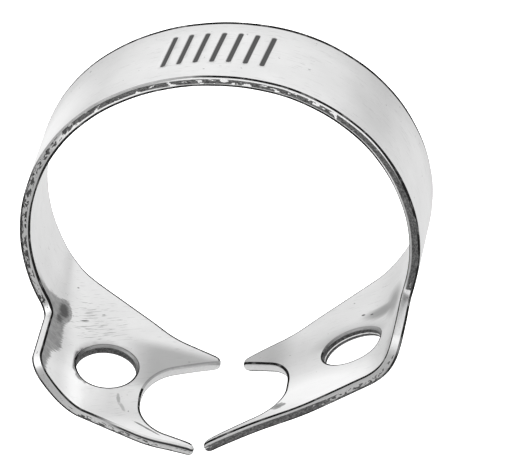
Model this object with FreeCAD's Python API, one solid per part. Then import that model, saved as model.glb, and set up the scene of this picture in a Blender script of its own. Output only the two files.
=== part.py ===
import FreeCAD, Part
import math
import os
from FreeCAD import Vector

# Rubber dam clamp: one strip of spring steel, blanked flat, bent into a bow and two jaws.
# The bow arches over the tooth, the jaws slope in to the tooth's neck and hold it with four prongs,
# and a pair of forceps spreads the jaws by the round hole in each.
# Frame, in millimetres: +X to the right jaw, +Y to the back of the bow, +Z up to its crown.
# The origin lies between the prong tips, in the middle plane of the bow.

# Sheet
sheet_thickness = 0.7
strip_width = 7.4

# Bow: radii of the middle of the sheet and the angles they turn through, from the crown down
crown_radius = 14.9
crown_angle = 19.9
shoulder_radius = 11.7
shoulder_angle = 28.4
flank_radius = 11.1
flank_angle = 32.2
wall_radius = 10.9
wall_angle = 27.1
bend_radius = 4.3           # the tight bend between bow and jaw
bend_angle = 56.1
plate_length = 3.5          # flat part of the jaw, which holds the forceps hole
curl_radius = 45.0          # the prongs curl down to the gum

# Set of the bow and the jaws, in degrees
bow_flare = 3.7             # the bow widens towards its back
bow_lean = 1.1              # the crown lies a little behind the neck
jaw_splay = 2.0             # the jaws open towards their back
jaw_front_dip = 3.5         # the jaws slope down to their front
set_line_depth = 3.2        # they are set about a line this far in front of the strip's middle

# Jaw outline on the flat blank. Lengths along the strip count from the start of the flat plate,
# and depths count from the middle of the strip, towards the front.
ear_overhang = 3.55         # the ear starts this far before the plate, at the neck
ear_depth = 9.95
ear_radius = 1.3
neck_radius = 0.8
front_edge_reach = 4.15     # the front edge is bent here
front_edge_depth = 12.3
front_edge_radius = 6.3
front_tip_reach = 9.05
front_tip_depth = 12.3
back_tip_reach = 8.9
back_tip_depth = 3.25
tip_width = 0.55
tip_radius = 0.25
cut_reach = 4.45            # the concave cut that clears the tooth
cut_back_depth = 6.6
cut_back_radius = 4.1
front_prong_root = 1.05     # the front prong is this wide at the cut
cut_front_radius = 2.0
taper_reach = -3.1          # the back edge leaves the strip's line here
taper_radius = 4.85
back_edge_reach = 5.5       # and turns along the back prong here
back_edge_depth = 2.55
back_edge_radius = 4.2

# The clamp is bent and ground by hand, so its two jaws differ. The right one gets the plain
# value plus the difference, the left one the plain value less the difference.
front_tip_difference = 1.9
back_tip_difference = 0.35
cut_difference = 0.9
dip_difference = -5.4       # degrees: the left jaw dips more
jaw_slew = 2.9              # degrees: the fronts of both jaws lie a little to the right

# Forceps hole
hole_radius = 1.94
hole_reach = 1.15
hole_depth = 6.6

STATION_PITCH = 0.8         # spacing of the sections that the sheet is drawn through
END_MARGIN = 0.5            # the drawn sheet runs this far past the longest prong
SPAN_STEPS = 50             # steps down the bow in which its half span is looked for
DRILL_LENGTH = 4 * sheet_thickness
STEP = 1e-3                 # small distance for slopes


def bends():
    """Curvature and length of each stretch of the middle line, from the crown down."""
    arcs = [
        (crown_radius, crown_angle),
        (shoulder_radius, shoulder_angle),
        (flank_radius, flank_angle),
        (wall_radius, wall_angle),
        (bend_radius, bend_angle),
    ]
    stretches = [(1 / radius, radius * math.radians(angle)) for radius, angle in arcs]
    stretches.append((0.0, plate_length))
    longest = max(front_tip_reach + abs(front_tip_difference), back_tip_reach + abs(back_tip_difference))
    stretches.append((-1 / curl_radius, longest - plate_length + END_MARGIN))
    return stretches


BENDS = bends()
BEND_START = sum(length for _, length in BENDS[:4])
PLATE_START = sum(length for _, length in BENDS[:5])
SHEET_END = sum(length for _, length in BENDS)


def middle_line(distance):
    """Place (x, z) and downward heading of the middle line at a distance from the crown."""
    x = z = heading = 0.0
    left = distance
    for curvature, length in BENDS:
        run = min(left, length)
        turn = curvature * run
        chord = run if curvature == 0 else 2 * math.sin(turn / 2) / curvature
        x += chord * math.cos(heading + turn / 2)
        z -= chord * math.sin(heading + turn / 2)
        heading += turn
        left -= run
        if left <= 0:
            break
    return x, z, heading


NECK_HEIGHT = middle_line(BEND_START)[1]
HALF_SPAN = max(middle_line(BEND_START * i / SPAN_STEPS)[0] for i in range(SPAN_STEPS + 1))


def jaw_share(distance):
    """0 in the bow, 1 in the jaw, with a smooth change through the bend."""
    part = min(1.0, max(0.0, (distance - BEND_START) / (PLATE_START - BEND_START)))
    return part * part * (3 - 2 * part)


def sheet_point(along, depth):
    """Point of the sheet's middle surface. along is signed, negative to the left; depth is +Y."""
    side = math.copysign(1.0, along)
    x, z, _ = middle_line(abs(along))
    jaw = jaw_share(abs(along))
    flare = math.tan(math.radians(bow_flare)) * (1 - jaw)
    height = max(0.0, z - NECK_HEIGHT)
    splay = math.tan(math.radians(jaw_splay)) * jaw
    slew = math.tan(math.radians(jaw_slew)) * jaw
    dip = math.tan(math.radians(jaw_front_dip + side * dip_difference)) * jaw
    from_set_line = depth + set_line_depth
    return Vector(
        side * (x + flare * depth * x / HALF_SPAN + splay * from_set_line) - slew * from_set_line,
        depth + math.tan(math.radians(bow_lean)) * height,
        z - flare * depth * height / NECK_HEIGHT + dip * from_set_line,
    )


def sheet_normal(along, depth):
    """Unit normal of the sheet, out of the bow and below the jaws."""
    ahead = sheet_point(along + STEP, depth) - sheet_point(along - STEP, depth)
    across = sheet_point(along, depth + STEP) - sheet_point(along, depth - STEP)
    return ahead.cross(across).normalize()


def skin(offset, reach):
    """Ruled surface at an offset from the middle of the sheet, with parameters (along, depth)."""
    count = math.ceil(SHEET_END / STATION_PITCH)
    stations = [SHEET_END * i / count for i in range(-count, count + 1)]
    rims = []
    for depth in (-reach, reach):
        rim = Part.BSplineCurve()
        points = [sheet_point(s, depth) + sheet_normal(s, depth) * offset for s in stations]
        rim.interpolate(Points=points, Parameters=stations)
        rims.append(rim)
    front, back = rims
    poles = [[a, b] for a, b in zip(front.getPoles(), back.getPoles())]
    surface = Part.BSplineSurface()
    surface.buildFromPolesMultsKnots(
        poles, front.getMultiplicities(), [2, 2], front.getKnots(), [-reach, reach],
        False, False, front.Degree, 1,
    )
    return surface


def rounded(corners):
    """Closed flat outline through (along, depth, radius) corners: runs joined by tangent arcs."""
    places = [Vector(s, d, 0) for s, d, _ in corners]
    ends = []
    for i, (_, _, radius) in enumerate(corners):
        here = places[i]
        to_last = (places[i - 1] - here).normalize()
        to_next = (places[(i + 1) % len(places)] - here).normalize()
        half = to_last.getAngle(to_next) / 2
        bisector = (to_last + to_next).normalize()
        reach = radius / math.tan(half)
        middle = here + bisector * (radius / math.sin(half) - radius)
        ends.append((here + to_last * reach, middle, here + to_next * reach, radius))
    flat = lambda v: FreeCAD.Base.Vector2d(v.x, v.y)
    pieces = []
    for i, (start, middle, end, radius) in enumerate(ends):
        if radius > 0:
            pieces.append(Part.Geom2d.ArcOfCircle2d(flat(start), flat(middle), flat(end)))
        pieces.append(Part.Geom2d.Line2dSegment(flat(end), flat(ends[(i + 1) % len(ends)][0])))
    return pieces


def jaw_reaches(side):
    """How far the front prong, the back prong and the cut of one jaw lie from the plate's start."""
    return (
        front_tip_reach + side * front_tip_difference,
        back_tip_reach + side * back_tip_difference,
        cut_reach + side * cut_difference,
    )


def jaw_corners(side):
    """Corners of one jaw from the neck, round the prongs, to the strip's back edge."""
    half = strip_width / 2
    front_tip, back_tip, cut = jaw_reaches(side)
    cut_front_depth = front_edge_depth - front_prong_root
    corners = [
        (-ear_overhang, -half, neck_radius),
        (-ear_overhang, -ear_depth, ear_radius),
        (front_edge_reach, -front_edge_depth, front_edge_radius),
        (front_tip, -front_tip_depth, tip_radius),
        (front_tip, -front_tip_depth + tip_width, tip_radius),
        (cut, -cut_front_depth, cut_front_radius),
        (cut, -cut_back_depth, cut_back_radius),
        (back_tip, -back_tip_depth - tip_width, tip_radius),
        (back_tip, -back_tip_depth, tip_radius),
        (back_edge_reach, -back_edge_depth, back_edge_radius),
        (taper_reach, half, taper_radius),
    ]
    return [(side * (PLATE_START + s), depth, radius) for s, depth, radius in corners]


def blank_corners():
    """Corners of the whole blank, round its edge: the right jaw, then the left one."""
    return jaw_corners(1) + jaw_corners(-1)[::-1]


def blank():
    """The bent blank: both skins trimmed to the outline, joined by walls square to the sheet."""
    reach = front_edge_depth + strip_width
    outline = rounded(blank_corners())
    skins = []
    for offset in (sheet_thickness / 2, -sheet_thickness / 2):
        surface = skin(offset, reach)
        face = Part.Face(surface, Part.Wire([piece.toShape(surface) for piece in outline]))
        face.validate()
        skins.append(face)
    rims = [face.OuterWire.OrderedEdges for face in skins]
    walls = [Part.makeRuledSurface(above, below) for above, below in zip(*rims)]
    shell = Part.makeShell(skins + walls)
    shell.sewShape()
    return Part.makeSolid(shell)


def forceps_drill(side):
    """Cylinder square to the jaw, through the forceps hole."""
    along = side * (PLATE_START + hole_reach)
    centre = sheet_point(along, -hole_depth)
    normal = sheet_normal(along, -hole_depth)
    start = centre - normal * (DRILL_LENGTH / 2)
    return Part.makeCylinder(hole_radius, DRILL_LENGTH, start, normal)


def prong_middle():
    """Middle of the four prong tips, in the bow's middle plane."""
    tips = []
    for side in (-1, 1):
        front_tip, back_tip, _ = jaw_reaches(side)
        tips.append(sheet_point(side * (PLATE_START + front_tip), -front_tip_depth))
        tips.append(sheet_point(side * (PLATE_START + back_tip), -back_tip_depth))
    middle = sum(tips, Vector()) / len(tips)
    return Vector(0, middle.y, middle.z)


def clamp():
    """The finished clamp, moved so that the origin lies between the prong tips."""
    pierced = blank().cut([forceps_drill(-1), forceps_drill(1)])
    solid = pierced.Solids[0]
    solid.translate(-prong_middle())
    return solid


os.makedirs("parts", exist_ok=True)
clamp().exportStep("parts/clamp.step")
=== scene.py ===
import math
from types import SimpleNamespace

import bpy
import numpy as np
from mathutils import Matrix, Vector
from mathutils.geometry import delaunay_2d_cdt


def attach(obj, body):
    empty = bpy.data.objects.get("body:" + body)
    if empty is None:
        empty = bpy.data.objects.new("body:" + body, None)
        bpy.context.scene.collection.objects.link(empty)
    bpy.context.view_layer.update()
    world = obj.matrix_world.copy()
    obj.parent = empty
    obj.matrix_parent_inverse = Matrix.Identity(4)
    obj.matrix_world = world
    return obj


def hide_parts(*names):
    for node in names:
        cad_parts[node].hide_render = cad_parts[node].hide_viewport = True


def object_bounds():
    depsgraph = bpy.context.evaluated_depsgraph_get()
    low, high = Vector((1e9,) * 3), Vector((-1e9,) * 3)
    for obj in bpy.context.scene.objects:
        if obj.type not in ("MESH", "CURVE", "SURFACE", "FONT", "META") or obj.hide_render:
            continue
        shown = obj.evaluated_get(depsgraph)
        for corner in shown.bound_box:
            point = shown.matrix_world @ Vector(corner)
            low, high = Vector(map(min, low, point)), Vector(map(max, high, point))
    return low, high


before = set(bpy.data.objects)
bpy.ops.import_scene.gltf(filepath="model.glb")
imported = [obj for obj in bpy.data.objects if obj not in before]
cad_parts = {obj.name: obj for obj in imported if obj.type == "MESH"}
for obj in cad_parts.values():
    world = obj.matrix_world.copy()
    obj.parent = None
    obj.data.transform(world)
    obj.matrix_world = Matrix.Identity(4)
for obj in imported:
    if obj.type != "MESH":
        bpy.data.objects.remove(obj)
cad_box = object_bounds()

MM = 0.001

# Sheet and bends, as in the CAD source, in millimetres and degrees
sheet_thickness = 0.7
strip_width = 7.4
bow_arcs = [(14.9, 19.9), (11.7, 28.4), (11.1, 32.2), (10.9, 27.1)]    # radius, angle
bend_arc = (4.3, 56.1)
plate_length = 3.5
curl_radius = 45.0
curl_length = 9.0           # longer than any prong
bow_flare = 3.7
bow_lean = 1.1
jaw_splay = 2.0
jaw_front_dip = 3.5
set_line_depth = 3.2

ear_overhang, ear_depth, ear_radius, neck_radius = 3.55, 9.95, 1.3, 0.8
front_edge_reach, front_edge_depth, front_edge_radius = 4.15, 12.3, 6.3
front_tip_reach, front_tip_depth = 9.05, 12.3
back_tip_reach, back_tip_depth = 8.9, 3.25
tip_width, tip_radius = 0.55, 0.25
cut_reach, cut_back_depth, cut_back_radius = 4.45, 6.6, 4.1
front_prong_root, cut_front_radius = 1.05, 2.0
taper_reach, taper_radius = -3.1, 4.85
back_edge_reach, back_edge_depth, back_edge_radius = 5.5, 2.55, 4.2
front_tip_difference, back_tip_difference, cut_difference = 1.9, 0.35, 0.9
dip_difference, jaw_slew = -5.4, 2.9
hole_radius, hole_reach, hole_depth = 1.94, 1.15, 6.6

# Finish of the edges and the skins
edge_radius = 0.09          # tumbled edge of the bow and the jaws
prong_edge_radius = 0.17    # the prongs are ground rounder
nose_length = 0.5           # and thin out to a blunt nose
nose_thinning = 0.8
hole_edge_radius = 0.06
hole_bevel = 0.17           # the holes are deburred deeper on their back side
thickness_left = 0.96       # share of the sheet's thickness after tumbling
long_wave_height = 0.008
short_wave_height = 0.004
grinding_slant = 23.0       # degrees: brush marks of the left jaw against the strip

# Fineness of the mesh
SPAN_STEPS = 50             # steps down the bow in which its half span is looked for
WALL_ROWS = 6
CORNER_ROWS = 6
RIM_STEP = 0.11
RIM_LIP = 0.07              # the first row of the skin lies this far inside the rounded edge
CROWN_LIP = 0.28            # and further inside along the crown's back edge
SKIN_STEP = 0.28
STROKE_END_STEPS = 6
STROKE_SIDE_STEPS = 12
HOLE_TRIES = 12             # steps in which a row of a hole is brought onto its cylinder
AT_ONCE = 200               # points that are searched through at once
HOLE_RUN = 500.0            # the run round a hole starts here, clear of the outline's
OFF = -0.5                  # value of a field of marks where there is none

# Generic slanted strokes, engraved at the crown of the bow
stroke_count = 7
stroke_pitch = 1.02
stroke_start = -1.9
stroke_slant = 0.3
stroke_front, stroke_back = -1.6, 2.0
stroke_half_width = 0.19
stroke_wall = 0.06
stroke_sink = 0.06

# Camera: where it stands from the point that it looks at, in degrees and millimetres, and its lens
camera_azimuth = 11.4649
camera_elevation = 27.9398
camera_roll = -8.7165
camera_aim = (2.652, 3.952, 9.809)
camera_distance = 120.0
photo_width_px = 514
focal_length_px = 1922.0
SENSOR_WIDTH = 36.0

# Stage, in metres, and the dark cards of its tent: direction, inner and outer angle, share of light taken
FLOOR_HALF = 1.2
FLOOR_GAP = 0.0006
LIT_PLACE = (0, 0, 0.008)
DARK_CARDS = [((0.62, 0.77, 0.02), 8, 20, 0.25), ((-0.50, 0.86, 0.02), 6, 22, 0.18)]
BUMP_DEPTH = 0.00004

# Curvature and length of each stretch of the sheet's middle line, from the crown down
STRETCHES = [(1 / radius, radius * math.radians(angle)) for radius, angle in [*bow_arcs, bend_arc]]
STRETCHES += [(0.0, plate_length), (-1 / curl_radius, curl_length)]
BEND_START = sum(length for _, length in STRETCHES[:len(bow_arcs)])
PLATE_START = sum(length for _, length in STRETCHES[:len(bow_arcs) + 1])


def middle_line(distance):
    """Place (x, z) of the middle line of the sheet at distances from the crown."""
    x = np.zeros_like(distance)
    z = np.zeros_like(distance)
    heading = np.zeros_like(distance)
    left = distance.copy()
    for curvature, length in STRETCHES:
        run = np.clip(left, 0, length)
        turn = curvature * run
        chord = run if curvature == 0 else 2 * np.sin(turn / 2) / curvature
        x += chord * np.cos(heading + turn / 2)
        z -= chord * np.sin(heading + turn / 2)
        heading += turn
        left = left - length
    return x, z


NECK_HEIGHT = middle_line(np.array([BEND_START]))[1][0]
HALF_SPAN = middle_line(np.linspace(0, BEND_START, SPAN_STEPS + 1))[0].max()


def sheet(along, depth):
    """Middle surface of the sheet, (n, 3) in millimetres, before the shift to the prong tips."""
    along = np.asarray(along, float)
    depth = np.asarray(depth, float)
    side = np.where(along < 0, -1.0, 1.0)
    x, z = middle_line(np.abs(along))
    part = np.clip((np.abs(along) - BEND_START) / (PLATE_START - BEND_START), 0, 1)
    jaw = part * part * (3 - 2 * part)
    flare = math.tan(math.radians(bow_flare)) * (1 - jaw)
    height = np.maximum(0, z - NECK_HEIGHT)
    splay = math.tan(math.radians(jaw_splay)) * jaw
    slew = math.tan(math.radians(jaw_slew)) * jaw
    dip = np.tan(np.radians(jaw_front_dip + side * dip_difference)) * jaw
    ahead = depth + set_line_depth
    return np.stack([
        side * (x + flare * depth * x / HALF_SPAN + splay * ahead) - slew * ahead,
        depth + math.tan(math.radians(bow_lean)) * height,
        z - flare * depth * height / NECK_HEIGHT + dip * ahead,
    ], -1)


def tangents(along, depth, step=1e-3):
    """Slopes of the middle surface along the strip and across it."""
    ahead = sheet(along + step, depth) - sheet(along - step, depth)
    across = sheet(along, depth + step) - sheet(along, depth - step)
    return ahead / (2 * step), across / (2 * step)


def normal(along, depth):
    """Unit normals of the sheet, out of the bow and below the jaws."""
    ahead, across = tangents(along, depth)
    out = np.cross(ahead, across)
    return out / np.linalg.norm(out, axis=-1, keepdims=True)


def jaw_reaches(side):
    """How far the front prong, the back prong and the cut of a jaw lie from the plate's start."""
    return (
        front_tip_reach + side * front_tip_difference,
        back_tip_reach + side * back_tip_difference,
        cut_reach + side * cut_difference,
    )


def origin_shift():
    """The middle of the four prong tips, in the bow's middle plane."""
    tips = []
    for side in (-1, 1):
        front_tip, back_tip, _ = jaw_reaches(side)
        tips.append(sheet([side * (PLATE_START + front_tip)], [-front_tip_depth])[0])
        tips.append(sheet([side * (PLATE_START + back_tip)], [-back_tip_depth])[0])
    middle = np.mean(tips, 0)
    return np.array([0, middle[1], middle[2]])


ORIGIN = origin_shift()


def solid_point(along, depth, offset):
    """Point at an offset from the middle surface, in metres in the CAD frame."""
    return (sheet(along, depth) + normal(along, depth) * np.asarray(offset)[..., None] - ORIGIN) * MM


def jaw_corners(side):
    """Corners (along, depth, radius) of one jaw from the neck, round the prongs, to the back edge."""
    half = strip_width / 2
    front_tip, back_tip, cut = jaw_reaches(side)
    cut_front_depth = front_edge_depth - front_prong_root
    corners = [
        (-ear_overhang, -half, neck_radius),
        (-ear_overhang, -ear_depth, ear_radius),
        (front_edge_reach, -front_edge_depth, front_edge_radius),
        (front_tip, -front_tip_depth, tip_radius),
        (front_tip, -front_tip_depth + tip_width, tip_radius),
        (cut, -cut_front_depth, cut_front_radius),
        (cut, -cut_back_depth, cut_back_radius),
        (back_tip, -back_tip_depth - tip_width, tip_radius),
        (back_tip, -back_tip_depth, tip_radius),
        (back_edge_reach, -back_edge_depth, back_edge_radius),
        (taper_reach, half, taper_radius),
    ]
    return [(side * (PLATE_START + s), depth, radius) for s, depth, radius in corners]


def tangent_arcs(places, radii):
    """Start, end, centre and radius of the arc at each corner of a closed outline."""
    arcs = []
    for i, radius in enumerate(radii):
        here = places[i]
        to_last = places[i - 1] - here
        to_next = places[(i + 1) % len(places)] - here
        to_last /= np.linalg.norm(to_last)
        to_next /= np.linalg.norm(to_next)
        half = math.acos(np.clip(to_last @ to_next, -1, 1)) / 2
        reach = radius / math.tan(half)
        bisector = (to_last + to_next) / np.linalg.norm(to_last + to_next)
        centre = here + bisector * radius / math.sin(half)
        arcs.append((here + to_last * reach, here + to_next * reach, centre, radius))
    return arcs


def winding(places):
    """1 for a closed outline that turns to the left, -1 for one that turns to the right."""
    area = sum(a[0] * b[1] - b[0] * a[1] for a, b in zip(places[-1:] + places[:-1], places))
    return 1 if area > 0 else -1


def outline(corners, step):
    """Closed outline sampled at about the step: points and outward normals in (along, depth)."""
    places = [np.array(corner[:2]) for corner in corners]
    arcs = tangent_arcs(places, [radius for _, _, radius in corners])
    to_left = winding(places)
    points, normals = [], []
    for i, (start, end, centre, radius) in enumerate(arcs):
        first = math.atan2(*(start - centre)[::-1])
        last = math.atan2(*(end - centre)[::-1])
        turn = (last - first + math.pi) % (2 * math.pi) - math.pi
        count = max(3, math.ceil(abs(turn) * radius / step))
        for k in range(count):
            angle = first + turn * k / count
            out = np.array([math.cos(angle), math.sin(angle)])
            points.append(centre + radius * out)
            normals.append(out if turn * to_left > 0 else -out)
        run = arcs[(i + 1) % len(arcs)][0] - end
        length = np.linalg.norm(run)
        count = max(1, math.ceil(length / step))
        out = np.array([run[1], -run[0]]) / length * to_left
        for k in range(count):
            points.append(end + run * k / count)
            normals.append(out)
    return np.array(points), np.array(normals)


def rim_rows(radius, lip):
    """Rows across the edge, from the skin inside the bow to the one outside.

    Each has an inset, an offset, and a turn from skin (0) to wall (1). radius and lip are arrays with
    one value for each point of the outline.
    """
    half = sheet_thickness / 2
    corner = [(radius + lip, half + 0 * radius, 0.0)]
    for k in range(CORNER_ROWS + 1):
        part = k / CORNER_ROWS
        angle = math.pi / 2 * (1 - part)
        inset = radius * (1 - math.cos(angle))
        corner.append((inset, half - radius + radius * math.sin(angle), 0.2 + 0.8 * part))
    rows = [(inset, -offset, turn) for inset, offset, turn in corner]
    wall = sheet_thickness - 2 * radius
    rows += [(0 * radius, wall * (k / WALL_ROWS - 0.5), 1.0) for k in range(1, WALL_ROWS)]
    return rows + corner[::-1]


def smooth(value, low, high):
    """0 below low, 1 above high, with a smooth change between."""
    part = np.clip((value - low) / (high - low), 0, 1)
    return part * part * (3 - 2 * part)


def edge_round(along):
    """Radius of the outer edge: small on the bow, larger out along the prongs."""
    out = smooth(np.abs(along) - PLATE_START, 3.0, 8.0)
    return edge_radius + (prong_edge_radius - edge_radius) * out


def nose(along, depth):
    """Share of the sheet's thickness that is left near the end of each prong."""
    side = np.where(along < 0, -1.0, 1.0)
    front = depth < -(cut_back_depth + front_edge_depth) / 2
    front_tip, back_tip, _ = jaw_reaches(side)
    reach = np.where(front, front_tip, back_tip)
    past = np.clip((np.abs(along) - PLATE_START - reach + nose_length) / nose_length, 0, 1)
    return np.sqrt(1 - nose_thinning * past * past)


def hole_row(side, inset, offset, count):
    """(along, depth) of one row of the forceps hole: where a cylinder meets the sheet at an offset."""
    middle = np.array([side * (PLATE_START + hole_reach)]), np.array([-hole_depth])
    centre = sheet(*middle)[0]
    axis = normal(*middle)[0]
    ahead = tangents(*middle)[0][0]
    first = ahead - axis * (ahead @ axis)
    first /= np.linalg.norm(first)
    plane = np.stack([first, np.cross(axis, first)], -1)
    angle = np.linspace(0, 2 * math.pi, count, endpoint=False)
    wanted = (hole_radius + inset)[:, None] * np.stack([np.cos(angle), np.sin(angle)], -1)
    along = middle[0] + wanted[:, 0]
    depth = middle[1] + wanted[:, 1]
    for _ in range(HOLE_TRIES):
        place = sheet(along, depth) + normal(along, depth) * offset[:, None] - centre
        error = place @ plane - wanted
        slopes = np.stack([tangent @ plane for tangent in tangents(along, depth)], -1)
        move = np.linalg.solve(slopes, error[..., None])[..., 0]
        along -= move[:, 0]
        depth -= move[:, 1]
    return np.stack([along, depth], -1)


def stroke_loop(centre, half_width):
    """Outline of one engraved stroke: a slanted slot with round ends."""
    low = np.array([centre - stroke_slant / 2, stroke_front])
    high = np.array([centre + stroke_slant / 2, stroke_back])
    way = (high - low) / np.linalg.norm(high - low)
    side = np.array([way[1], -way[0]])
    points = []
    for end, other, start_turn in ((high, low, 0.0), (low, high, math.pi)):
        for k in range(STROKE_END_STEPS + 1):
            turn = start_turn + math.pi * k / STROKE_END_STEPS
            points.append(end + half_width * (side * math.cos(turn) + way * math.sin(turn)))
        run = other - end
        edge = end - half_width * side * math.cos(start_turn)
        points += [edge + run * k / STROKE_SIDE_STEPS for k in range(1, STROKE_SIDE_STEPS)]
    return np.array(points)


def inside(polygon, points):
    """Which points lie inside a closed polygon."""
    x, y = points[:, 0][:, None], points[:, 1][:, None]
    x0, y0 = polygon[:, 0], polygon[:, 1]
    x1, y1 = np.roll(x0, -1), np.roll(y0, -1)
    cross = ((y0 > y) != (y1 > y)) & (x < (x1 - x0) * (y - y0) / (y1 - y0 + 1e-15) + x0)
    return cross.sum(1) % 2 == 1


# Torn share of the sheared edge, chosen at places along the bow and at reaches of the two jaws
BOW_TEAR = [
    (-22, 0.52), (-16, 0.58), (-9.5, 0.52), (-7.6, 0.84), (-3, 0.80), (2, 0.70),
    (8, 0.76), (12, 0.96), (16, 1.10), (20, 1.10), (23.5, 0.80),
]
LEFT_JAW_TEAR = [(-4, 0.02), (0, 0.46), (2, 0.54), (6, 0.34), (10, 0.28)]
RIGHT_JAW_TEAR = [
    (-4, 0.10), (-2, 0.35), (0, 0.50), (2, 0.60), (3.5, 0.85),
    (4.5, 1.15), (8, 1.15), (10, 0.80), (12, 0.70),
]
BACK_TEAR = 0.75
HOLE_TEAR = 1.3

# Where parts of the edge begin and end, in millimetres
cut_lead = 1.5              # the cut's edge begins this far before its deepest reach
edge_margin = 0.3           # gap from the cut's edge to the back edge, and from strip to jaw
front_margin = 0.5          # depth of the stretch that counts as the front edge
faint_line_front = -8.0     # the left cut's line is faint behind this depth
FAINT_LINE = 0.45
crease_lead = 1.3           # the crease fades in over this depth before the front edge
crease_start, crease_full = 0.2, 2.6    # and along the prong between these reaches


def read_off(pairs, value):
    """Read a value off between (place, value) pairs."""
    at, values = zip(*pairs)
    return np.interp(value, at, values)


def tear_of(along, depth):
    """How much of the sheared edge is torn and dark: (n,) shares round the outline."""
    reach = np.abs(along) - PLATE_START
    jaw = np.where(along < 0, read_off(LEFT_JAW_TEAR, reach), read_off(RIGHT_JAW_TEAR, reach))
    past_neck = depth < -strip_width / 2 - edge_margin
    share = np.where(past_neck, jaw, read_off(BOW_TEAR, along))
    share = np.where(in_cut(along, depth), 0.0, share)
    return np.where(depth > 0, BACK_TEAR, share)


def in_cut(along, depth):
    """The concave cut and the sides of the prongs that face it."""
    reach = np.abs(along) - PLATE_START
    behind_front = depth > front_margin - front_edge_depth
    before_back = depth < -back_tip_depth - edge_margin
    return (reach > cut_reach - cut_lead) & behind_front & before_back


def crease_shade_of(along, depth):
    """Painted shade: dark crease line along the middle of the left front prong."""
    reach = -along - PLATE_START
    toward_front = smooth(-depth, front_edge_depth - crease_lead, front_edge_depth - front_margin)
    return np.where(in_cut(along, depth), 0.0, smooth(reach, crease_start, crease_full) * toward_front)


def line_of(along, depth):
    """Strength of the painted shade line at the edge's corners: fainter round the back of the left cut."""
    faint = in_cut(along, depth) & (along < 0) & (depth > faint_line_front)
    return np.where(faint, FAINT_LINE, 1.0)


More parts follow.
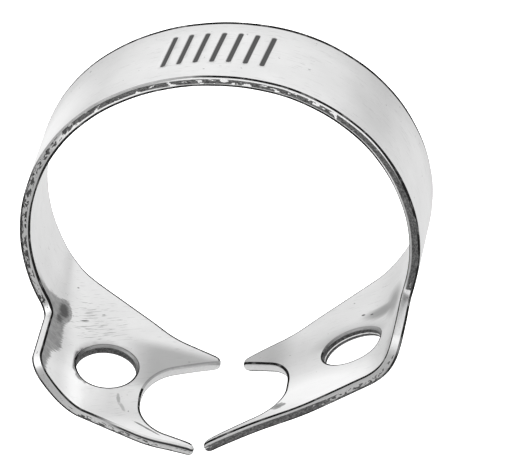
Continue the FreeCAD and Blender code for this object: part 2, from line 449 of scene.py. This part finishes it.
class Skin:
    """Mesh of the whole clamp on the flat blank, with the fields that its material reads."""

    def __init__(self):
        self.verts = []     # (along, depth, offset)
        self.rim = []       # 1 on the sheared edge, 0 on the skins
        self.across = []    # -1 on the skin inside the bow and above the jaws, 1 on the other
        self.run = []       # distance round the edge
        self.tear = []      # torn share of the edge
        self.line = []      # strength of the painted shade line at the corner of skin and edge
        self.crease_shade = []    # strength of the painted shade of the crease along the prong's edge
        self.mark = []      # 1 on the floor of an engraved stroke
        self.faces = []
        self.loops = {-1: [], 1: []}

    def add_point(self, place, offset, rim=0.0, run=0.0, tear=0.0, line=0.0, crease_shade=0.0, mark=0.0):
        self.verts.append((*place, offset))
        self.rim.append(rim)
        self.across.append(offset / (sheet_thickness / 2))
        self.run.append(run)
        self.tear.append(tear)
        self.line.append(line)
        self.crease_shade.append(crease_shade)
        self.mark.append(mark)

    def add_rows(self, rows, places, lengths, tears, lines, crease_shades, flip):
        """Wall of the outline or of a hole, as rings of points from one skin to the other."""
        start = len(self.verts)
        count = len(lengths)
        for (_, offsets, turn), ring in zip(rows, places):
            for point in zip(ring, offsets, [turn] * count, lengths, tears, lines, crease_shades):
                self.add_point(*point)
        for row in range(len(rows) - 1):
            for k in range(count):
                a = start + row * count + k
                b = start + row * count + (k + 1) % count
                quad = (a, b, b + count, a + count)
                self.faces.append(quad[::-1] if flip else quad)
        last = start + (len(rows) - 1) * count
        self.loops[-1].append(list(range(start, start + count)))
        self.loops[1].append(list(range(last, last + count)))

    def add_border(self):
        """The wall round the blank."""
        border, outward = outline(jaw_corners(1) + jaw_corners(-1)[::-1], RIM_STEP)
        along, depth = border[:, 0], border[:, 1]
        back_lip = read_off([(14, CROWN_LIP), (18, RIM_LIP)], np.abs(along))
        rows = rim_rows(edge_round(along), np.where(depth > 0, back_lip, RIM_LIP))
        gaps = np.linalg.norm(np.roll(border, -1, 0) - border, axis=1)
        lengths = np.concatenate([[0], np.cumsum(gaps)[:-1]])
        places = [border - outward * inset[:, None] for inset, _, _ in rows]
        tears = tear_of(along, depth)
        self.add_rows(rows, places, lengths, tears, line_of(along, depth), crease_shade_of(along, depth), False)

    def add_hole(self, side):
        """The wall of one forceps hole, with a deeper bevel on its back side."""
        count = math.ceil(2 * math.pi * hole_radius / RIM_STEP)
        turn = np.linspace(0, 2 * math.pi, count, endpoint=False)
        back = smooth(np.sin(turn - 0.15), -0.1, 0.9)
        rows = rim_rows(hole_edge_radius + (hole_bevel - hole_edge_radius) * back, np.full(count, RIM_LIP))
        lengths = np.arange(count) * RIM_STEP + HOLE_RUN * (2 + side)
        places = [hole_row(side, inset, offset, count) for inset, offset, _ in rows]
        tears = HOLE_TEAR + 0 * back
        self.add_rows(rows, places, lengths, tears, 1 - 0.5 * back, 0 * back, side > 0)

    def add_strokes(self, rings, half):
        """Rings of the engraved strokes: at the skin and, further in, on the sunken floor."""
        outlines = []
        for k in range(stroke_count):
            centre = stroke_start + stroke_pitch * k
            for width, sink in ((stroke_half_width, 0.0), (stroke_half_width - stroke_wall, stroke_sink)):
                loop = stroke_loop(centre, width)
                start = len(self.verts)
                for place in loop:
                    self.add_point(place, half - sink, mark=float(sink > 0))
                rings.append(list(range(start, start + len(loop))))
            outlines.append(loop)
        return outlines

    def on_skin(self, rings, points):
        """Which points lie on the skin: inside the first ring and outside the holes' rings."""
        flat = [np.array([self.verts[i][:2] for i in ring]) for ring in rings]
        keep = inside(flat[0], points)
        for hole in flat[1:]:
            keep &= ~inside(hole, points)
        return keep

    def add_face(self, face_side):
        """One skin, filled with triangles between the rings of its walls."""
        half = face_side * sheet_thickness / 2
        bounds = list(self.loops[face_side])
        rings = list(bounds)
        strokes = self.add_strokes(rings, half) if face_side > 0 else []
        ids = [i for ring in rings for i in ring]
        ring_points = np.array([self.verts[i][:2] for i in ids])
        low, high = ring_points.min(0), ring_points.max(0)
        steps = [np.arange(low[k], high[k], SKIN_STEP) for k in range(2)]
        grid = np.stack(np.meshgrid(*steps, indexing="ij"), -1).reshape(-1, 2)
        grid = grid[self.on_skin(bounds, grid)]
        grid = grid[nearest(grid, ring_points) > SKIN_STEP / 2]
        for loop in strokes:
            grid = grid[~inside(loop, grid)]
        base = len(self.verts)
        for place in grid:
            self.add_point(place, half)
        edges = []
        for ring in rings:
            at = len(edges)
            edges += [(at + k, at + (k + 1) % len(ring)) for k in range(len(ring))]
        points = [Vector(p) for p in ring_points] + [Vector(p) for p in grid]
        out_points, _, out_faces, origins, _, _ = delaunay_2d_cdt(points, edges, [], 0, 1e-7)
        first = [origin[0] for origin in origins]
        index = [ids[o] if o < len(ids) else base + o - len(ids) for o in first]
        centres = np.array([np.mean([out_points[i] for i in face], 0) for face in out_faces])
        for face, good in zip(out_faces, self.on_skin(bounds, centres)):
            if good:
                triangle = [index[i] for i in face]
                self.faces.append(triangle if face_side > 0 else triangle[::-1])


def nearest(points, others):
    """Distance from each point to the nearest of the others."""
    near = np.full(len(points), np.inf)
    for start in range(0, len(others), AT_ONCE):
        away = np.linalg.norm(points[:, None] - others[None, start:start + AT_ONCE], axis=2)
        near = np.minimum(near, away.min(1))
    return near


def build_skin():
    """Walls first, since the two skins are filled in between their rings."""
    skin = Skin()
    skin.add_border()
    for side in (-1, 1):
        skin.add_hole(side)
    for face_side in (-1, 1):
        skin.add_face(face_side)
    return skin


def dress(verts):
    """Small unevenness of a tumbled, hand-bent piece, in millimetres along the sheet's normal."""
    along, depth = verts[:, 0], verts[:, 1]
    side = np.where(along < 0, 0.7, 0.0)
    long_wave = long_wave_height * np.sin(along * 0.9 + side) * np.sin(depth * 0.7 + 1.3 + side)
    return long_wave + short_wave_height * np.sin(along * 2.1 + depth * 1.3 + side)


# Marks on the flat blank, each with a centre (along, depth) and half sizes in millimetres, and a strength
FORMING_MARKS = [
    ((-24.0, -3.0), (0.85, 1.3), 1.9),
    ((-23.8, -4.1), (0.50, 1.1), 1.6),
    ((32.2, -11.25), (0.60, 0.34), 1.1),
]
# Spots of painted shade beside the necks
SHADE_SPOTS = [
    ((24.5, -3.2), (1.0, 2.4), 2.2),
    ((25.6, -3.4), (1.8, 0.9), 3.2),
    ((-21.6, -3.5), (2.0, 0.6), 1.5),
]
WORN_MARK = ((-26.6, -2.6), (2.6, 2.8), 1.8)

# Painted shade (above 0) and painted highlights (below 0) on each skin, with the share that they add
INNER_PAINTED_LIGHT = [
    (0.35, (31.0, -5.5), (4.0, 3.0), 1.5),
    (-0.65, (29.8, -10.6), (5.5, 2.6), 1.6),
    (-0.6, (-25.2, -9.6), (3.0, 3.4), 1.6),
    (-0.6, (-31.0, -11.7), (4.5, 1.2), 1.5),
]
OUTER_PAINTED_LIGHT = [
    (0.30, (10.0, 0.5), (7.0, 5.0), 1.0),
    (-0.6, (-10.5, -1.5), (4.5, 4.0), 1.5),
]

# Border toward the jaw of the long forming mark beside the left bend, as (depth, along) pairs
LEFT_MARK_BORDER = [
    (-10.9, -24.0), (-9.9, -23.85), (-8.6, -23.9), (-7.7, -24.0), (-6.9, -24.6),
    (-4.7, -24.5), (-3.4, -24.6), (-1.3, -24.5), (-0.2, -23.2),
]
LEFT_MARK_FRONT, LEFT_MARK_BACK = -10.9, -0.2
LEFT_MARK_CAP = 0.6
left_mark_thins = (-4.2, -2.6)      # towards the back it thins out between these depths
left_mark_line = -23.3              # beyond this line on the strip
left_mark_back_start, left_mark_back_slope = (-22.64, -2.3), 0.485

# Painted shade on the back prongs: the reaches and depths between which it comes up
left_shade_reach, left_shade_depth, LEFT_SHADE = (1.6, 4.4), (3.0, 4.1), 1.25
right_shade_reach = (4.8, 7.2)
shade_front = (-8.3, -7.2)
# Painted shade towards the back edge of the crown's outer skin: the depths between which it comes up, and
# its share
crown_shade_depth, CROWN_SHADE = (1.2, 3.7), 0.30

# Darker ring round the back of the holes, and a wider one at the right hole: distances inside the rim
ring_back = (0.2, 1.2)
ring_inside, RING = (-0.55, -0.25), 0.8
wide_ring_inside, WIDE_RING = (-1.4, -0.2), 0.5


def spot(verts, centre, size, strength=1.0):
    """The strength at the centre of a spot on the flat blank, 0 at its border, below 0 outside."""
    away = np.hypot((verts[:, 0] - centre[0]) / size[0], (verts[:, 1] - centre[1]) / size[1])
    return (1 - away) * strength


def burnish_of(verts, across):
    """Dark forming marks on the jaws' upper skin, as a field that is positive inside the marks."""
    along, depth = verts[:, 0], verts[:, 1]
    start, start_depth = left_mark_back_start
    back_border = start_depth - (along - start) * left_mark_back_slope
    field = np.minimum((along - read_off(LEFT_MARK_BORDER, depth)) * 0.9, LEFT_MARK_CAP)
    field -= smooth(depth, *left_mark_thins) * np.maximum(0, along - left_mark_line) * 0.35
    field = np.minimum(field, (back_border - depth) * 0.7)
    on_left_jaw = (depth < LEFT_MARK_BACK) & (depth > LEFT_MARK_FRONT) & (along < 0)
    field = np.where(on_left_jaw, field, OFF)
    for mark in FORMING_MARKS:
        field = np.maximum(field, spot(verts, *mark))
    return np.where(across < 0, field, OFF)


def painted_light_of(verts, across):
    """Painted shade on the back prongs and in spots, a darker ring round the back of the holes, and painted
    shade and painted highlights elsewhere.
    """
    along, depth = verts[:, 0], verts[:, 1]
    reach = np.abs(along) - PLATE_START
    left = LEFT_SHADE * smooth(reach, *left_shade_reach) * smooth(-depth, *left_shade_depth)
    right = smooth(reach, *right_shade_reach)
    share = np.where(along < 0, left, right) * smooth(depth, *shade_front)
    for mark in SHADE_SPOTS:
        share = np.maximum(share, np.clip(spot(verts, *mark), 0, 1.5))
    from_hole = np.hypot(reach - hole_reach, depth + hole_depth) - hole_radius
    behind = smooth(depth + hole_depth, *ring_back)
    share = np.maximum(share, RING * behind * smooth(-from_hole, *ring_inside))
    wide_ring = WIDE_RING * behind * smooth(-from_hole, *wide_ring_inside)
    share = np.maximum(share, np.where(along > 0, wide_ring, 0))
    for amount, *painted_patch in INNER_PAINTED_LIGHT:
        share += amount * np.clip(spot(verts, *painted_patch), 0, 1)
    outside = CROWN_SHADE * smooth(depth, *crown_shade_depth)
    for amount, *painted_patch in OUTER_PAINTED_LIGHT:
        outside += amount * np.clip(spot(verts, *painted_patch), 0, 1)
    return np.where(across < 0, share, outside)


def worn_of(verts, across):
    """Where the brushing cut deeper, beside the bend of the left jaw."""
    return np.where(across < 0, np.clip(spot(verts, *WORN_MARK), 0, 1), 0.0)


skin = build_skin()
blank = np.array(skin.verts)
offset = blank[:, 2] * thickness_left * nose(blank[:, 0], blank[:, 1]) + dress(blank)
places = solid_point(blank[:, 0], blank[:, 1], offset)
mesh = bpy.data.meshes.new("clamp_skin")
mesh.from_pydata([tuple(place) for place in places], [], [tuple(face) for face in skin.faces])
mesh.validate()
clamp = bpy.data.objects.new("clamp_skin", mesh)
bpy.context.scene.collection.objects.link(clamp)
mesh.shade_smooth()

uv = mesh.uv_layers.new(name="blank")
loop_vertex = np.empty(len(mesh.loops), dtype=np.int32)
mesh.loops.foreach_get("vertex_index", loop_vertex)
uv.data.foreach_set("uv", blank[loop_vertex][:, :2].astype(np.float32).ravel())
side_of_sheet = np.array(skin.across)
fields = {
    "rim": skin.rim,
    "across": skin.across,
    "run": skin.run,
    "tear": skin.tear,
    "line": skin.line,
    "crease_shade": skin.crease_shade,
    "mark": skin.mark,
    "burnish": burnish_of(blank, side_of_sheet),
    "dull": painted_light_of(blank, side_of_sheet),
    "worn": worn_of(blank, side_of_sheet),
}
for name, values in fields.items():
    attribute = mesh.attributes.new(name, "FLOAT", "POINT")
    attribute.data.foreach_set("value", np.array(values, dtype=np.float32))

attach(clamp, "root")
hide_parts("clamp")


class Value:
    """Output of a shader node, for use in sums and products."""

    def __init__(self, nodes, socket):
        self.nodes = nodes
        self.socket = socket

    def __add__(self, other):
        return self.nodes.math("ADD", self, other)

    def __sub__(self, other):
        return self.nodes.math("SUBTRACT", self, other)

    def __rsub__(self, other):
        return self.nodes.math("SUBTRACT", other, self)

    def __mul__(self, other):
        return self.nodes.math("MULTIPLY", self, other)

    def __truediv__(self, other):
        return self.nodes.math("DIVIDE", self, other)

    def __abs__(self):
        return self.nodes.math("ABSOLUTE", self)


class Nodes:
    """Short calls for building a node tree. What each returns is a Value."""

    def __init__(self, tree):
        self.tree = tree
        tree.nodes.clear()

    def add(self, kind, **settings):
        node = self.tree.nodes.new(kind)
        for key, value in settings.items():
            setattr(node, key, value)
        return node

    def put(self, value, socket):
        """Link a value or a node's output to a socket, or set a number or a colour on it."""
        value = getattr(value, "socket", value)
        if isinstance(value, bpy.types.NodeSocket):
            self.tree.links.new(value, socket)
        else:
            socket.default_value = value

    def call(self, node, output, inputs):
        for key, value in inputs.items():
            self.put(value, node.inputs[key])
        return Value(self, node.outputs[output])

    def math(self, operation, *values):
        node = self.add("ShaderNodeMath", operation=operation)
        return self.call(node, 0, dict(enumerate(values)))

    def larger(self, a, b):
        return self.math("MAXIMUM", a, b)

    def attribute(self, name):
        return Value(self, self.add("ShaderNodeAttribute", attribute_name=name).outputs["Fac"])

    def split(self, vector):
        """The three parts of a vector."""
        node = self.add("ShaderNodeSeparateXYZ")
        self.put(vector, node.inputs[0])
        return [Value(self, output) for output in node.outputs]

    def vector(self, x, y, z):
        return self.call(self.add("ShaderNodeCombineXYZ"), 0, {0: x, 1: y, 2: z})

    def noise(self, vector, scale, detail, roughness=0.55, distortion=0.0):
        inputs = {
            "Vector": vector,
            "Scale": scale,
            "Detail": detail,
            "Roughness": roughness,
            "Distortion": distortion,
        }
        return self.call(self.add("ShaderNodeTexNoise"), "Fac", inputs)

    def ramp(self, value, low, high, out_low=0.0, out_high=1.0):
        """From one output to the other as the value goes from low to high, smoothly."""
        node = self.add("ShaderNodeMapRange", clamp=True, interpolation_type="SMOOTHSTEP")
        return self.call(node, 0, dict(enumerate((value, low, high, out_low, out_high))))

    def mix(self, factor, a, b):
        """Mix of two colours."""
        node = self.add("ShaderNodeMix", data_type="RGBA")
        return self.call(node, "Result", {"Factor": factor, "A": a, "B": b})

    def blend(self, factor, a, b):
        """Mix of two numbers."""
        node = self.add("ShaderNodeMix", data_type="FLOAT")
        return self.call(node, 0, {0: factor, 2: a, 3: b})


def grey(tone):
    return (tone, tone, tone, 1.0)


# Greys of the steel, from 0 for black to 1
SKIN_DARK, SKIN_LIGHT, MOTTLE_GREY = 0.65, 0.79, 0.60
# The third of these greys is the tone of painted shade on the skins
SCRATCH_GREY, PIT_GREY, PAINTED_SHADE_GREY, NICK_GREY = 0.25, 0.15, 0.26, 0.03
MARK_DARK, MARK_LIGHT, MARK_DEEP = 0.15, 0.30, 0.05
STROKE_DARK, STROKE_LIGHT = 0.015, 0.06
LIP_DARK, LIP_LIGHT = 0.62, 0.95
# Painted shade of the line at the edge's corner and of the crease
LINE_GREY, CREASE_SHADE_GREY = 0.012, 0.03
TORN_DARK, TORN_LIGHT = 0.045, 0.18
DULL_TORN_DARK, DULL_TORN_LIGHT = 0.025, 0.12
STEP_GREY = 0.85

# Single nicks on the upper skin: centre on the blank, half length and half width, direction in degrees
# and strength
NICKS = [
    ((-25.8, -2.75), (0.36, 0.06), -grinding_slant, 0.95),
    ((-28.72, -9.30), (0.50, 0.12), 82, 0.42),
    ((-29.02, -9.98), (0.42, 0.13), 64, 0.34),
    ((-30.60, -11.38), (0.95, 0.07), 24, 0.75),
    ((27.16, -3.00), (0.15, 0.11), 20, 0.95),
    ((26.56, -3.24), (0.11, 0.09), 0, 0.90),
    ((-27.10, -1.70), (0.14, 0.05), -grinding_slant, 0.70),
    ((-24.90, 0.30), (0.12, 0.06), -grinding_slant, 0.70),
]


def read_fields(nodes):
    """The mesh's fields and the place on the flat blank, along the strip and across its depth."""
    along, depth, _ = nodes.split(nodes.add("ShaderNodeUVMap", uv_map="blank").outputs[0])
    return SimpleNamespace(along=along, depth=depth, **{name: nodes.attribute(name) for name in fields})


def find_zones(nodes, field):
    """Stretches of the outline that are treated apart, each as a share from 0 to 1."""
    return SimpleNamespace(
        crown=nodes.ramp(abs(field.along), 17.0, 11.0),
        hole=nodes.ramp(field.run, HOLE_RUN - 2, HOLE_RUN - 1),
        left=nodes.ramp(field.along, -8.5, -10.5),
        left_jaw=nodes.ramp(field.along, -22.5, -23.1),
        right_ear=nodes.ramp(field.along, 22.8, 23.4) * nodes.ramp(field.along, 30.5, 28.5),
        outer=nodes.ramp(field.across, -0.1, 0.1),
        upper=nodes.ramp(field.across, -0.3, -0.6),
    )


def brushing(nodes, field, zones):
    """Rolled and brushed skins: soft clouds, short scratches and pits, and streaks.

    The streaks run along the strip and, where the left jaw was ground once more, aslant.
    """
    slant = math.radians(grinding_slant)
    slant_length = field.along * math.cos(slant) - field.depth * math.sin(slant)
    slant_width = field.along * math.sin(slant) + field.depth * math.cos(slant)
    length = nodes.blend(zones.left_jaw, field.along, slant_length)
    width = nodes.blend(zones.left_jaw, field.depth, slant_width)
    scratched = nodes.noise(nodes.vector(length * 0.55, width * 7.0, field.across + 3.0), 1.9, 2.0, 0.5)
    limit = nodes.blend(field.worn, 0.62, 0.55)
    pitted = nodes.noise(nodes.vector(field.along, field.depth, field.across * 5.0), 2.3, 2.0, 0.5)
    return SimpleNamespace(
        streaks=nodes.noise(nodes.vector(length * 0.35, width * 9.0, field.across), 1.4, 5.0, 0.65),
        fine=nodes.noise(nodes.vector(length * 1.1, width * 26.0, field.across), 1.6, 3.0, 0.6),
        clouds=nodes.noise(nodes.vector(field.along, field.depth, field.across * 7.0), 0.42, 3.0, 0.5),
        mottle=nodes.noise(nodes.vector(field.along * 0.7, field.depth * 1.6, field.across), 2.6, 4.0, 0.6),
        scratches=nodes.ramp(scratched, limit, limit + 0.10),
        pits=nodes.ramp(pitted, 0.735, 0.765),
    )


def torn_share(nodes, field, zones):
    """Torn flakes of the sheared edge, few or many by the place on the outline, between bright lips."""
    outward = nodes.ramp(field.along, 0.0, -4.0) * 0.20 + zones.right_ear * 0.30
    middle = nodes.blend(zones.hole, outward + 0.04, -0.26)
    off_middle = abs(field.across - middle) - zones.hole * 0.36
    band = nodes.ramp(off_middle + zones.crown * 0.10, 0.62, 0.50)
    flake_at = nodes.vector(field.run, field.across * 0.8, 0.0)
    large = nodes.noise(flake_at, 1.7, 3.0, 0.60, 0.35)
    small = nodes.noise(flake_at, 2.5, 2.0, 0.5, 0.8)
    flakes = nodes.blend(nodes.larger(zones.left, zones.right_ear), large, small)
    limit = 0.74 - field.tear * 0.44
    shear = nodes.ramp(flakes - limit, 0.0, 0.035)
    return shear * band * nodes.ramp(field.rim, nodes.blend(zones.hole, 0.8, 0.35), 1.0)


def corner_line(nodes, field, zones, line_noise):
    """Painted shade: dark line at the corner between skin and edge, thinner on the outer left of the bow.
    """
    by_left_neck = nodes.ramp(field.along, -13.5, -17.0) * nodes.ramp(field.depth, -4.3, -3.9)
    inner_line = zones.crown * 0.34 - 0.05 + by_left_neck * 0.25
    outer_line = nodes.blend(zones.crown, 0.28, -0.02)
    onto_wall = nodes.blend(zones.outer, inner_line, outer_line)
    line = nodes.ramp(1.0 - abs(field.across) - onto_wall, 0.26, 0.17) * nodes.ramp(field.rim, 0.0, 0.02)
    line = line * nodes.ramp(line_noise, 0.30, 0.50, 0.75, 1.0)
    outer_front = zones.outer * nodes.ramp(field.depth, 0.5, -0.5)
    outer_left = outer_front * (nodes.ramp(field.along, 1.5, -1.0) * nodes.ramp(field.along, -14.0, -10.0))
    line = line * (1.0 - outer_left * 0.45) * field.line
    crease_shaded = (1.0 - zones.outer) * (field.crease_shade * 0.85)
    return line * (1.0 - crease_shaded)


def crease_shade_line(nodes, field):
    """Painted shade: crease along the left front prong, in place of the corner line, with soft shade below
    it.
    """
    crease_shade = nodes.ramp(abs(field.across + 0.66), 0.30, 0.16)
    shade = nodes.ramp(field.across, 0.3, -0.5) * nodes.ramp(field.across, -0.80, -0.60)
    return nodes.larger(crease_shade, shade * 0.55) * field.crease_shade * nodes.ramp(field.rim, 0.3, 0.6)


def nick_share(nodes, field, zones, mottle, centre, half_sizes, direction, strength):
    """One nick: a short scratch with a ragged border."""
    turn = math.radians(direction)
    ahead = field.along - centre[0]
    aside = field.depth - centre[1]
    far_ahead = (ahead * math.cos(turn) + aside * math.sin(turn)) / half_sizes[0]
    far_aside = (aside * math.cos(turn) - ahead * math.sin(turn)) / half_sizes[1]
    far = far_ahead * far_ahead + far_aside * far_aside + (mottle - 0.5) * 2.0
    return nodes.ramp(far, 1.4, 0.3) * zones.upper * strength


def skin_colour(nodes, field, zones, brushed, grain):
    """Colour of the two skins: clouds, scratches, pits, painted shade and painted highlights, and marks."""
    ragged = (brushed.streaks - 0.5) * 0.9
    burnished = nodes.ramp(field.burnish + ragged, 0.08, 0.26)
    deep = nodes.ramp(field.burnish + ragged + (brushed.mottle - 0.5) * 1.2, 0.50, 1.30)
    mottled = nodes.ramp(brushed.mottle, 0.38, 0.62)
    mark_colour = nodes.mix(mottled, grey(MARK_DARK), grey(MARK_LIGHT))
    stroke_colour = nodes.mix(grain, grey(STROKE_DARK), grey(STROKE_LIGHT))
    scratched = brushed.scratches * nodes.blend(field.worn, 0.30, 0.75)
    colour = nodes.mix(brushed.clouds, grey(SKIN_DARK), grey(SKIN_LIGHT))
    colour = nodes.mix(brushed.mottle * 0.30, colour, grey(MOTTLE_GREY))
    colour = nodes.mix(scratched, colour, grey(SCRATCH_GREY))
    colour = nodes.mix(brushed.pits * 0.6, colour, grey(PIT_GREY))
    # Painted shade where the field is above 0, and painted highlights towards white where it is below 0
    colour = nodes.mix(field.dull * 0.55, colour, grey(PAINTED_SHADE_GREY))
    colour = nodes.mix(field.dull * -1.0, colour, grey(1.0))
    colour = nodes.mix(burnished * 0.80, colour, mark_colour)
    colour = nodes.mix(deep * 0.85, colour, grey(MARK_DEEP))
    colour = nodes.mix(field.mark * 0.95, colour, stroke_colour)
    for nick in NICKS:
        nicked = nick_share(nodes, field, zones, brushed.mottle, *nick)
        colour = nodes.mix(nicked, colour, grey(NICK_GREY))
    return colour


def torn_colour(nodes, field, zones, grain, line_noise):
    """Colour of the torn flakes, with a bright line in the wall of the right hole."""
    duller = nodes.larger(zones.left, zones.hole)
    dark = nodes.mix(duller, grey(TORN_DARK), grey(DULL_TORN_DARK))
    light = nodes.mix(duller, grey(TORN_LIGHT), grey(DULL_TORN_LIGHT))
    step = nodes.ramp(abs(field.across - 0.12), 0.13, 0.06) * zones.hole
    step = step * nodes.ramp(field.along, 0.0, 1.0) * nodes.ramp(line_noise, 0.38, 0.50)
    return nodes.mix(step, nodes.mix(grain, dark, light), grey(STEP_GREY))


def bright_share(nodes, field):
    """Lips of the crown's edge that catch the light, apart from the upper left one."""
    crown = nodes.ramp(field.along, -11.5, -8.5) * nodes.ramp(field.along, 18.0, 13.0)
    upper_left = nodes.ramp(field.along, 0.0, -3.0) * nodes.ramp(field.across, 0.25, 0.45)
    return (crown - upper_left * 0.8) * nodes.ramp(field.rim, 0.4, 0.9) * 0.75


def steel_material():
    """Spring steel: bright skins and lips, painted shade lines, dark marks, and a torn edge with relief."""
    material = bpy.data.materials.new("spring_steel")
    material.use_nodes = True
    nodes = Nodes(material.node_tree)
    shader = nodes.add("ShaderNodeBsdfPrincipled")
    field = read_fields(nodes)
    zones = find_zones(nodes, field)
    brushed = brushing(nodes, field, zones)
    specks = nodes.noise(nodes.vector(field.run * 3.2, field.across * 2.2, 4.0), 2.1, 3.0, 0.7)
    grain = nodes.ramp(specks, 0.35, 0.7)
    line_noise = nodes.noise(nodes.vector(field.run * 0.8, field.across, 9.0), 1.0, 4.0, 0.7)
    shear = torn_share(nodes, field, zones)
    turn_line = corner_line(nodes, field, zones, line_noise)
    crease_shade = crease_shade_line(nodes, field)

    colour = skin_colour(nodes, field, zones, brushed, grain)
    lip_colour = nodes.mix(specks, grey(LIP_DARK), grey(LIP_LIGHT))
    colour = nodes.mix(field.rim * 0.9, colour, lip_colour)
    # Painted shade of the crease
    colour = nodes.mix(crease_shade, colour, grey(CREASE_SHADE_GREY))
    # Painted shade of the line at the edge's corner
    colour = nodes.mix(turn_line, colour, grey(LINE_GREY))
    colour = nodes.mix(shear, colour, torn_colour(nodes, field, zones, grain, line_noise))

    # Painted shade lines at the edge's corner and the crease, torn flakes and strokes lose the metal's
    # shine, and the bright lips, painted highlights, are matt
    shade_lines_and_marks = nodes.larger(nodes.larger(turn_line, nodes.larger(crease_shade, field.mark)), shear * 0.7)
    relief = brushed.fine * 0.5 + brushed.streaks * 0.5 - brushed.scratches * 0.5
    bump = nodes.add("ShaderNodeBump")
    bump.inputs["Strength"].default_value = 0.35
    bump.inputs["Distance"].default_value = BUMP_DEPTH
    nodes.put(nodes.blend(shear, relief * 0.25, specks * 1.6 - 1.2), bump.inputs["Height"])
    inputs = {
        "Base Color": colour,
        "Metallic": 1.0 - nodes.larger(shade_lines_and_marks, bright_share(nodes, field)),
        "Specular IOR Level": (1.0 - shade_lines_and_marks) * 0.5,
        "Roughness": nodes.blend(shear, brushed.streaks * 0.16 + 0.30, 0.5),
        "Anisotropic": 0.3,
        "Normal": bump.outputs[0],
    }
    surface = nodes.call(shader, 0, inputs)
    nodes.put(surface, nodes.add("ShaderNodeOutputMaterial").inputs[0])
    return material


steel = steel_material()
mesh.materials.append(steel)
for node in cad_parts.values():
    node.data.materials.clear()
    node.data.materials.append(steel)


def floor_material():
    """White paper. Only the steel's reflections see its tone fall off towards the front."""
    material = bpy.data.materials.new("paper_floor")
    material.use_nodes = True
    nodes = Nodes(material.node_tree)
    at = nodes.add("ShaderNodeTexCoord").outputs["Object"]
    toward_back = nodes.split(at)[1]
    tone = nodes.mix(nodes.noise(at, 260.0, 2.0), grey(0.93), grey(0.95))
    paper = nodes.call(nodes.add("ShaderNodeBsdfDiffuse"), 0, {"Color": tone})
    glow = nodes.call(nodes.add("ShaderNodeEmission"), 0, {"Strength": 0.80})
    white = nodes.call(nodes.add("ShaderNodeAddShader"), 0, {0: paper, 1: glow})
    falling_off = nodes.ramp(toward_back, -0.035, 0.030, 0.42, 1.05)
    mirrored = nodes.call(nodes.add("ShaderNodeEmission"), 0, {"Strength": falling_off})
    glossy = nodes.add("ShaderNodeLightPath").outputs["Is Glossy Ray"]
    surface = nodes.call(nodes.add("ShaderNodeMixShader"), 0, {0: glossy, 1: white, 2: mirrored})
    nodes.put(surface, nodes.add("ShaderNodeOutputMaterial").inputs[0])
    return material


def add_floor():
    """Square floor a little below the clamp."""
    half = FLOOR_HALF
    floor_mesh = bpy.data.meshes.new("floor")
    corners = [(-half, -half, 0), (half, -half, 0), (half, half, 0), (-half, half, 0)]
    floor_mesh.from_pydata(corners, [], [(0, 1, 2, 3)])
    floor_mesh.materials.append(floor_material())
    floor = bpy.data.objects.new("floor", floor_mesh)
    floor.location = (0, 0, cad_box[0][2] - FLOOR_GAP)
    bpy.context.scene.collection.objects.link(floor)
    return floor


floor = add_floor()


def studio_world():
    """White tent: bright above and behind, darker in front, with dark cards low behind it."""
    world = bpy.data.worlds.new("studio")
    bpy.context.scene.world = world
    world.use_nodes = True
    nodes = Nodes(world.node_tree)
    direction = nodes.add("ShaderNodeTexCoord").outputs["Generated"]
    _, toward_back, upward = nodes.split(direction)
    level = nodes.ramp(upward, -0.10, 0.50, 0.85, 1.22) * nodes.ramp(toward_back, -0.60, 0.30, 0.50, 1.0)
    for toward, inner, outer, share in DARK_CARDS:
        node = nodes.add("ShaderNodeVectorMath", operation="DOT_PRODUCT")
        facing = nodes.call(node, "Value", {0: direction, 1: Vector(toward).normalized()})
        near = nodes.ramp(facing, math.cos(math.radians(outer)), math.cos(math.radians(inner)))
        level = level * (1.0 - near * share)
    white = {"Color": (1, 1, 1, 1)}
    seen = nodes.call(nodes.add("ShaderNodeBackground"), 0, {**white, "Strength": 1.0})
    light = nodes.call(nodes.add("ShaderNodeBackground"), 0, {**white, "Strength": level})
    from_camera = nodes.add("ShaderNodeLightPath").outputs["Is Camera Ray"]
    surface = nodes.call(nodes.add("ShaderNodeMixShader"), 0, {0: from_camera, 1: light, 2: seen})
    nodes.put(surface, nodes.add("ShaderNodeOutputWorld").inputs[0])


studio_world()


def softbox(name, place, width, height, power):
    """Rectangular light that faces the clamp, in metres and watts."""
    light = bpy.data.lights.new(name, "AREA")
    light.shape = "RECTANGLE"
    light.size = width
    light.size_y = height
    light.energy = power
    lamp = bpy.data.objects.new(name, light)
    lamp.location = place
    lamp.rotation_euler = (Vector(LIT_PLACE) - Vector(place)).to_track_quat("-Z", "Y").to_euler()
    bpy.context.scene.collection.objects.link(lamp)


softbox("key", (-0.16, -0.10, 0.24), 0.20, 0.20, 0.25)
softbox("fill", (0.22, -0.06, 0.16), 0.12, 0.20, 0.10)


def add_camera():
    """Camera as in the photo: it looks at a point from an azimuth and an elevation, slightly rolled."""
    data = bpy.data.cameras.new("camera")
    data.sensor_width = SENSOR_WIDTH
    data.lens = SENSOR_WIDTH * focal_length_px / photo_width_px
    data.clip_start = 0.005
    data.clip_end = 5.0
    camera = bpy.data.objects.new("camera", data)
    aim = Matrix.Translation(Vector(camera_aim) * MM)
    turn = Matrix.Rotation(math.radians(camera_azimuth), 4, "Z")
    rise = Matrix.Rotation(math.radians(90 - camera_elevation), 4, "X")
    roll = Matrix.Rotation(math.radians(camera_roll), 4, "Z")
    away = Matrix.Translation((0, 0, camera_distance * MM))
    camera.matrix_world = aim @ turn @ rise @ roll @ away
    bpy.context.scene.collection.objects.link(camera)
    bpy.context.scene.camera = camera


add_camera()
bpy.context.scene.view_settings.view_transform = "Standard"
